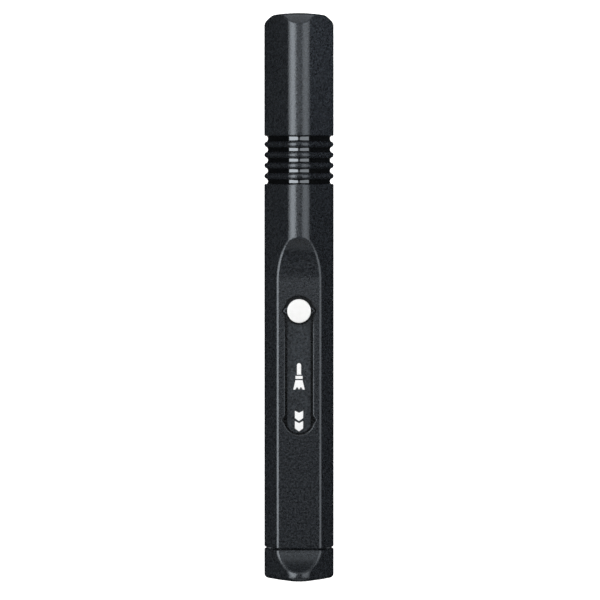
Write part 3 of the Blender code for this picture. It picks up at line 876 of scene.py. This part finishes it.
# ---------------------------------------------------------------- slider
def make_button():
    """The thumb button: a low crown, a waist for the detent wire, and a post through the carriage."""
    low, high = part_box("slider_button")
    foot, top = low.z - AXIS_Z, high.z - AXIS_Z
    post_r = 1.1 * MM
    base = PLATE_TOP + SLIP
    waist = FLAT_Z - 0.2 * MM
    profile = [
        (POLE_R, top),
        (BUTTON_R * 0.55, top - 0.04 * MM),
        (BUTTON_R, top - 0.14 * MM),
        (BUTTON_R, waist),
        (WAIST_R, waist),
        (WAIST_R, base),
        (post_r, base),
        (post_r, foot),
        (POLE_R, foot),
    ]
    button = turned("thumb_button", softened(profile, 0.3 * MM, 6), upright_at=BUTTON_STATION)
    dress(button, "slider", WHITE, "button_plastic", "slider_button")


def make_detent():
    """The spring wire round the button's waist, its ears in the slot's notches."""
    loop_r = WAIST_R + WIRE_R + 0.05 * MM
    steps = 120
    curve = bpy.data.curves.new("detent_wire", "CURVE")
    curve.dimensions = "3D"
    curve.bevel_depth = WIRE_R
    curve.bevel_resolution = 4
    curve.use_fill_caps = True
    spline = curve.splines.new("POLY")
    spline.points.add(steps)
    height = middle("detent_spring").z
    for step, point in enumerate(spline.points):
        # The wire's two ends leave a gap of 20 degrees on the nose's side.
        turn = math.radians(-80 + 340 * step / steps)
        x, along = loop_r * math.cos(turn), loop_r * math.sin(turn)
        ear = EAR_REACH * max(0.0, 1 - (along / EAR_HALF) ** 2)
        point.co = (x + math.copysign(ear, x), y_at(BUTTON_STATION + along), height, 1)
    wire = bpy.data.objects.new("detent_wire", curve)
    bpy.context.scene.collection.objects.link(wire)
    dress(wire, "slider", SPRING, "spring_wire", "detent_spring")


def make_marks():
    """Two arrowheads that point the way the brush slides, and a small brush sign, printed on the slide."""
    for number in range(2):
        make_arrow(number + 1, y_at(ARROW_TIP + number * ARROW_PITCH))
    make_brush_sign(y_at(SIGN_START))


def make_arrow(number, end):
    """An arrowhead: a point, straight sides and a notched tail."""
    shoulder = end + ARROW_POINT
    tail = shoulder + ARROW_SIDE
    outline_points = [
        (0, end),
        (ARROW_HALF, shoulder),
        (ARROW_HALF, tail),
        (0, tail - ARROW_NOTCH),
        (-ARROW_HALF, tail),
        (-ARROW_HALF, shoulder),
    ]
    printed(f"printed_arrow_{number}", outline_points)


def make_brush_sign(low):
    """A brush in three parts: hair in three locks, a band and a round-ended handle."""
    hair = [(-SIGN_HAIR_HALF, low)]
    for lock in range(3):
        hair.append((SIGN_HAIR_HALF * ((2 * lock + 1) / 3 - 1), low))
        if lock < 2:
            hair.append((SIGN_HAIR_HALF * ((2 * lock + 2) / 3 - 1), low + 0.55 * MM))
    hair_top = low + 1.9 * MM
    hair += [(SIGN_HAIR_HALF, low), (SIGN_BAND_HALF, hair_top), (-SIGN_BAND_HALF, hair_top)]
    printed("printed_brush_hair", hair)
    band_low, band_high = low + 2.15 * MM, low + 2.75 * MM
    band = [
        (-SIGN_BAND_HALF, band_low),
        (SIGN_BAND_HALF, band_low),
        (SIGN_BAND_HALF, band_high),
        (-SIGN_BAND_HALF, band_high),
    ]
    printed("printed_brush_band", band)
    handle_low, handle_high = low + 3.0 * MM, low + 4.9 * MM
    handle = [(-SIGN_HANDLE_R, handle_low), (SIGN_HANDLE_R, handle_low)]
    for turn in np.linspace(0, math.pi, 13):
        handle.append(
            (SIGN_HANDLE_R * math.cos(turn), handle_high + SIGN_HANDLE_R * math.sin(turn))
        )
    printed("printed_brush_handle", handle)


def printed(name, points):
    """A thin film of ink on the slide's plate, from its outline."""
    film = 0.01 * MM
    curve = bpy.data.curves.new(name, "CURVE")
    curve.dimensions = "2D"
    curve.fill_mode = "BOTH"
    curve.extrude = film
    spline = curve.splines.new("POLY")
    spline.points.add(len(points) - 1)
    for target, (x, y) in zip(spline.points, points):
        target.co = (x, y, 0, 1)
    spline.use_cyclic_u = True
    mark = bpy.data.objects.new(name, curve)
    mark.location.z = AXIS_Z + PLATE_TOP + film
    bpy.context.scene.collection.objects.link(mark)
    dress(mark, "slider", INK, "slide_plastic")


# ---------------------------------------------------------------- brush
def make_ferrule():
    """Drawn aluminium tube with a rolled lip and two pressed beads."""
    low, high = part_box("brush_ferrule")
    width, depth = high.x - low.x, high.z - low.z

    def tube(station, inset):
        return oval_ring(station, width - 2 * inset, depth - 2 * inset)

    wall = 0.3 * MM
    lip_turn = 0.12 * MM
    bead_depth = 0.16 * MM
    bead_half = 0.22 * MM
    beads = (FERRULE_START + 2.1 * MM, FERRULE_START + 3.5 * MM)
    rings = [
        tube(FERRULE_START, wall),
        tube(FERRULE_START, lip_turn),
        tube(FERRULE_START + lip_turn / 4, lip_turn / 2),
    ]
    for station in np.linspace(FERRULE_START + lip_turn, FERRULE_END - 0.05 * MM, 64):
        pressed = sum(bead_depth * math.exp(-(((station - bead) / bead_half) ** 2)) for bead in beads)
        rings.append(tube(station, pressed))
    rings += [tube(FERRULE_END, 0.05 * MM), tube(FERRULE_END, wall)]
    ferrule = loft("ferrule_tube", rings)
    dress(ferrule, "slider", ALUMINIUM, "ferrule_metal", "brush_ferrule")


def tuft_width(share):
    """How wide the tuft is, root (0) to tip (1), as a share of its widest."""
    belly = 0.86 + 0.14 * math.sin(math.pi * min(share / 0.9, 1))
    closing = max(0.0, (share - 0.55) / 0.45)
    return belly * math.sqrt(max(0.0, 1 - closing**2.6)) if share < 1 else 0.0


def make_strands():
    """Fine tapered hairs over and through the tuft's core, each with three sides."""
    low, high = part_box("brush_bristles")
    half_x, half_z = (high.x - low.x) / 2, (high.z - low.z) / 2
    draw = random.Random(7)
    verts, faces = [], []
    strands, joints, sides = 1500, 9, 3
    for _ in range(strands):
        out = draw.random() ** 0.4
        turn = draw.uniform(0, 2 * math.pi)
        end = 1 - 0.30 * out**3 - 0.05 * draw.random()
        wander = [draw.gauss(0, 0.03) for _ in range(2)]
        root_r = 0.05 * MM * draw.uniform(0.8, 1.2)
        base = len(verts)
        for joint in range(joints):
            along = joint / (joints - 1)
            share = end * along
            wide = out * tuft_width(share) * 0.96
            x = half_x * (wide * math.cos(turn) + wander[0] * along**2)
            y = high.y + (low.y - high.y) * share
            z = AXIS_Z + BRUSH_Z + half_z * (wide * math.sin(turn) + wander[1] * along**2)
            radius = root_r * (1 - 0.8 * along**1.5)
            for side in range(sides):
                angle = turn + 2 * math.pi * side / sides
                verts.append((x + radius * math.cos(angle), y, z + radius * math.sin(angle)))
        for joint in range(joints - 1):
            for side in range(sides):
                a, b = base + joint * sides + side, base + joint * sides + (side + 1) % sides
                faces.append((a, b, b + sides, a + sides))
        for end_ring in (base, base + (joints - 1) * sides):
            faces.append([end_ring + side for side in range(sides)])
    mesh = bpy.data.meshes.new("hair_strands")
    mesh.from_pydata(verts, [], faces)
    hair = finish_mesh("hair_strands", mesh, 60)
    dress(hair, "slider", HAIR, "brush_hair", "brush_bristles")


def make_hair_core():
    """The tuft's solid middle, a little inside its outer hairs."""
    low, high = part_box("brush_bristles")
    rings = []
    for share in np.linspace(0, 0.86, 24):
        station = high.y - NOSE_Y + (low.y - high.y) * share
        wide = max(tuft_width(share / 0.9) * 0.86, 0.02)
        rings.append(oval_ring(station, (high.x - low.x) * wide, (high.z - low.z) * wide))
    core = loft("hair_core", rings, capped=True)
    dress(core, "slider", HAIR, "brush_hair", "brush_bristles")


# ---------------------------------------------------------------- cleaning tip
def make_stem():
    """The rubber stem: a plug in the spigot, a flange, and a waist that bends."""
    start, end = span("tip_stem")
    flange_r = reach("tip_stem")
    plug_r = 1.6 * MM
    flange_low = SPIGOT_END + 0.2 * MM
    flange_high = SPIGOT_END + 0.9 * MM
    disc_start = span("tip_head")[0]
    profile = [
        (POLE_R, end),
        (STEM_R, end),
        (STEM_R, disc_start - 0.6 * MM),
        (STEM_R - 0.18 * MM, (disc_start + flange_high) / 2),
        (STEM_R + 0.2 * MM, flange_high),
        (flange_r, flange_high - 0.1 * MM),
        (flange_r, flange_low),
        (plug_r, flange_low),
        (plug_r, start),
        (POLE_R, start),
    ]
    stem = turned("rubber_stem", finely(softened(profile, 0.35 * MM, 5), 0.25 * MM))
    stem.data.materials.append(RUBBER)
    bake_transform(stem)
    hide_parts("tip_stem")


def make_disc():
    """The rubber disc on the stem, with a short hub behind it."""
    start = span("tip_head")[0]
    back = start + 1.6 * MM
    face = span("tip_pad")[1] - 0.85 * MM
    disc_r = reach("tip_head")
    hub_r = 2.1 * MM
    bore_r = STEM_R + SLIP
    profile = [
        (POLE_R, face - 0.15 * MM),
        (disc_r - 0.5 * MM, face),
        (disc_r, face - 0.25 * MM),
        (disc_r, back + 0.5 * MM),
        (disc_r - 0.6 * MM, back),
        (hub_r, back - 0.25 * MM),
        (hub_r, start),
        (bore_r, start),
        (bore_r, back + 1.0 * MM),
        (POLE_R, back + 1.0 * MM),
    ]
    disc = turned("rubber_tip_disc", softened(profile, 0.25 * MM, 5))
    dress(disc, "tip", RUBBER, "soft_rubber", "tip_head")


def make_pad():
    """The suede pad: a shallow dish in front, to sit on a lens, with a rolled rim."""
    face = span("tip_pad")[1]
    pad_r = reach("tip_head")
    profile = [
        (POLE_R, face - 0.22 * MM),
        (0.5 * pad_r, face - 0.16 * MM),
        (pad_r - 0.5 * MM, face),
        (pad_r - 0.1 * MM, face - 0.1 * MM),
        (pad_r, face - 0.45 * MM),
        (pad_r - 0.12 * MM, face - 0.75 * MM),
        (pad_r - 0.4 * MM, face - 0.7 * MM),
        (POLE_R, face - 0.85 * MM),
    ]
    pad = turned("suede_pad", softened(profile, 0.3 * MM, 5))
    dress(pad, "tip", SUEDE, "pad_suede", "tip_pad")


def finely(profile, step):
    """The same profile with more points along its long stretches."""
    made = [profile[0]]
    for (r0, s0), (r1, s1) in zip(profile, profile[1:]):
        parts = max(1, math.ceil(math.hypot(r1 - r0, s1 - s0) / step))
        made += [(r0 + (r1 - r0) * k / parts, s0 + (s1 - s0) * k / parts) for k in range(1, parts + 1)]
    return made


# ---------------------------------------------------------------- inside the cap
def make_seal():
    """A plain round ring in the spigot's groove."""
    low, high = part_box("cap_seal_ring")
    cord_r = (high.y - low.y) / 2
    middle_r = (high.x - low.x) / 2 - cord_r
    centre = (low.y + high.y) / 2 - NOSE_Y
    turns = np.linspace(0, 2 * math.pi, 24, endpoint=False)
    profile = [(middle_r + cord_r * math.cos(t), centre + cord_r * math.sin(t)) for t in turns]
    seal = turned("seal_ring", profile, closed=True)
    dress(seal, "seal", RUBBER, "soft_rubber", "cap_seal_ring")


def make_cartridge():
    """The grey cup pressed into the cap, with a floor behind the sponge."""
    start, end = span("carbon_cartridge")
    outer_r = reach("carbon_cartridge")
    inner_r = outer_r - 0.5 * MM
    floor_low = span("carbon_sponge")[1] + 0.2 * MM
    floor_high = floor_low + 0.6 * MM
    profile = [
        (POLE_R, floor_high),
        (inner_r, floor_high),
        (inner_r, end - 0.4 * MM),
        (inner_r - 0.1 * MM, end),
        (outer_r - 0.5 * MM, end),
        (outer_r, end - 0.6 * MM),
        (outer_r, start),
        (inner_r, start),
        (inner_r, floor_low),
        (POLE_R, floor_low),
    ]
    cup = turned("cartridge_cup", softened(profile, 0.12 * MM))
    dress(cup, "cap", GREY_PLASTIC, "inner_plastic", "carbon_cartridge")


def make_sponge():
    """The carbon-loaded disc that the pad rests against, crowned a little towards it."""
    start, end = span("carbon_sponge")
    sponge_r = reach("carbon_sponge")
    profile = [
        (POLE_R, end),
        (sponge_r, end),
        (sponge_r, start + 0.3 * MM),
        (sponge_r - 0.3 * MM, start + 0.05 * MM),
        (POLE_R, start),
    ]
    sponge = turned("carbon_sponge_disc", softened(profile, 0.3 * MM, 5))
    dress(sponge, "cap", FOAM, "carbon_foam", "carbon_sponge")


def dress_packed_pieces():
    """The slide carriage and the brush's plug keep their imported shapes."""
    for node, finish in (("brush_carriage", SLIDE_PLASTIC), ("brush_plug", GREY_PLASTIC)):
        mesh = frame["nodes"][node].data
        mesh.materials.clear()
        mesh.materials.append(finish)


# ---------------------------------------------------------------- light and camera
COOL = (0.86, 0.93, 1.0)


def soft_box(name, angle, spread, radiance, side=0.0, distance=0.6, length=1.4, shift=0.0):
    """A wide soft light, leaning by an angle from straight up, that covers so many degrees of the view
    from the pen. It leans towards +X, or towards +Y where side is 90. shift moves it along the pen."""
    lamp = bpy.data.lights.new(name, "AREA")
    lamp.shape = "RECTANGLE"
    lamp.size = 2 * distance * math.tan(math.radians(spread / 2))
    lamp.size_y = length
    lamp.energy = radiance * math.pi * lamp.size * lamp.size_y
    light = bpy.data.objects.new(name, lamp)
    light.visible_camera = False
    middle_of_view = Matrix.Translation((0, shift, AXIS_Z))
    lean = Matrix.Rotation(math.radians(side), 4, "Z") @ Matrix.Rotation(math.radians(angle), 4, "Y")
    light.matrix_world = middle_of_view @ lean @ Matrix.Translation((0, 0, distance))
    bpy.context.scene.collection.objects.link(light)
    return light


def make_shine():
    """Cool soft boxes that only show in the plastic's gloss, with a dark gap above the pen's crest."""
    along_pen = {"side": 90, "length": 0.6}
    for name, angle, spread, radiance, place in (
        ("left_box_high", -51, 48, 5.8, {}),
        ("left_box_low", -86, 22, 2.4, {}),
        ("right_box_high", 51, 48, 2.5, {}),
        ("right_box_low", 86, 22, 1.6, {}),
        ("cap_end_box_high", 58, 34, 0.8, along_pen),
        ("cap_end_box_low", 104, 58, 0.9, along_pen),
        ("nose_end_box", -92, 30, 0.6, along_pen),
        ("overhead_box", 14, 24, 1.6, {"side": 90, "distance": 0.2, "length": 0.1}),
    ):
        light = soft_box(name, angle, spread, radiance, **place)
        light.data.color = COOL
        light.visible_diffuse = False


def make_fill():
    """Even white light that leaves no highlights: two big boxes, and a small one beside the cap."""
    for name, angle, spread, radiance, place in (
        ("left_fill", -45, 80, 0.97, {}),
        ("right_fill", 45, 80, 0.94, {}),
        ("cap_side_fill", 64, 30, 8.0, {"distance": 0.035, "length": 0.02, "shift": 0.053}),
    ):
        light = soft_box(name, angle, spread, radiance, **place)
        light.visible_glossy = False


def make_world():
    """A dim white room, nearly black where the plastic mirrors it."""
    world = bpy.data.worlds.new("studio")
    world.use_nodes = True
    tree = world.node_tree
    shade = tree.nodes["Background"]
    path = add(tree, "ShaderNodeLightPath")
    tone = add(tree, "ShaderNodeMixRGB", {"Fac": path.outputs["Is Glossy Ray"]})
    tone.inputs["Color1"].default_value = (1, 1, 1, 1)
    tone.inputs["Color2"].default_value = (0.03, 0.033, 0.037, 1)
    tree.links.new(tone.outputs["Color"], shade.inputs["Color"])
    shade.inputs["Strength"].default_value = 0.25
    bpy.context.scene.world = world


def make_floor():
    """A plain white floor that the plastic doesn't mirror."""
    shape = bmesh.new()
    bmesh.ops.create_grid(shape, x_segments=1, y_segments=1, size=3)
    mesh = bpy.data.meshes.new("floor")
    shape.to_mesh(mesh)
    shape.free()
    floor = bpy.data.objects.new("floor", mesh)
    floor.location.z = cad_box[0].z - 0.05 * MM
    floor.visible_glossy = False
    floor.visible_diffuse = False
    floor.visible_shadow = False
    bpy.context.scene.collection.objects.link(floor)
    paint, tree, shader, _ = new_finish("matt_white_paper", Roughness=1.0, Specular_IOR_Level=0.0)
    shader.inputs["Base Color"].default_value = linear("#fafafa")
    shader.inputs["Emission Color"].default_value = (1, 1, 1, 1)
    shader.inputs["Emission Strength"].default_value = 0.8
    mesh.materials.append(paint)


def make_camera():
    """High above the pen, nearly straight over the thumb button's end of the cap, looking at its middle."""
    distance = 850 * MM
    framed = 121.0 * MM
    aside = 0.2 * MM
    eye = Vector((aside, y_at(84.5 * MM), AXIS_Z + distance))
    aim = Vector((aside, y_at(56.4 * MM), AXIS_Z))
    lens = bpy.data.cameras.new("camera")
    lens.sensor_width = 36
    lens.lens = 36 * distance / framed
    lens.clip_start = 0.05
    lens.clip_end = 10
    camera = bpy.data.objects.new("camera", lens)
    back = (eye - aim).normalized()
    side = Vector((1, 0, 0))
    camera.matrix_world = Matrix.Translation(eye) @ Matrix(
        (side, back.cross(side), back)
    ).transposed().to_4x4()
    bpy.context.scene.collection.objects.link(camera)
    bpy.context.scene.camera = camera


make_barrel()
make_nose()
make_cap()
make_neck()
make_grip_rings()
make_button()
make_detent()
make_marks()
make_ferrule()
make_strands()
make_hair_core()
make_stem()
make_disc()
make_pad()
make_seal()
make_cartridge()
make_sponge()
dress_packed_pieces()
make_shine()
make_fill()
make_world()
make_floor()
make_camera()
bpy.context.scene.view_settings.view_transform = "Standard"
